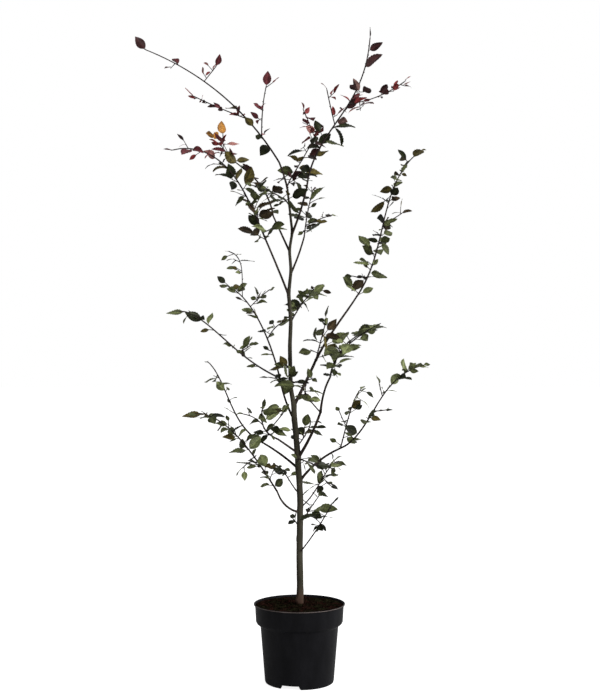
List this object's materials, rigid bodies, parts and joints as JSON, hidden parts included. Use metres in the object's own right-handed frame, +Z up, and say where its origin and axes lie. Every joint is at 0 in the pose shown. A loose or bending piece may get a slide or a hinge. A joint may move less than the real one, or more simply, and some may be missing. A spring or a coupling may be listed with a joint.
{
  "type": "potted copper beech sapling",
  "caption": "Slender young copper beech in a round black nursery pot, with an open crown that is green low down and purple-red at the top.",
  "frame": {"origin": "centre of the pot's flat underside", "axes": "+Z up the trunk, +X to the right as seen from the front, +Y to the back"},
  "size_m": [0.9273, 0.6816, 1.9922],
  "materials": {
    "black_plastic": "satin black moulded plastic, paler along the lip",
    "compost": "moist dark brown peaty compost, matt and crumbly",
    "bark": "smooth grey-brown young bark with small pale pores",
    "foliage_green": "dark green leaves with a soft sheen",
    "foliage_olive": "bronze-olive leaves with a soft sheen",
    "foliage_maroon": "purple-red young leaves with a soft sheen"
  },
  "bodies": {
    "root": {"pot": "black_plastic", "soil": "compost", "trunk": "bark", "bough_low_left": "bark", "bough_mid_left": "bark", "bough_near_left": "bark", "bough_high_left": "bark", "bough_upper_left": "bark", "bough_far_left": "bark", "bough_top_left": "bark", "bough_upper_right": "bark", "bough_far_right": "bark", "bough_high_right": "bark", "bough_high_right_end": "bark", "bough_mid_right": "bark", "bough_mid_right_end": "bark", "bough_low_right": "bark", "leaves_low_left": "foliage_green", "leaves_low_left_twig": "foliage_green", "leaves_mid_left": "foliage_green", "leaves_near_left": "foliage_green", "leaves_high_left_back": "foliage_green", "leaves_high_left_front": "foliage_green", "leaves_upper_left": "foliage_olive", "leaves_far_left": "foliage_olive", "leaves_upper_front": "foliage_olive", "leaves_top_left": "foliage_maroon", "leaves_top_middle": "foliage_maroon", "leaves_upper_right": "foliage_maroon", "leaves_far_right": "foliage_olive", "leaves_back_right": "foliage_green", "leaves_high_right": "foliage_olive", "leaves_high_right_side": "foliage_green", "leaves_mid_right": "foliage_green", "leaves_mid_right_side": "foliage_green", "leaves_low_right": "foliage_green", "leaves_low_right_back": "foliage_green", "leaves_foot_back": "foliage_green", "leaves_foot_side": "foliage_green", "leaves_foot_front": "foliage_green", "leaves_middle_back": "foliage_green", "leaves_middle_front": "foliage_green", "leaves_trunk_front": "foliage_green", "leaves_trunk_tuft": "foliage_green", "leaves_foot_tuft": "foliage_green"}
  },
  "joints": []
}
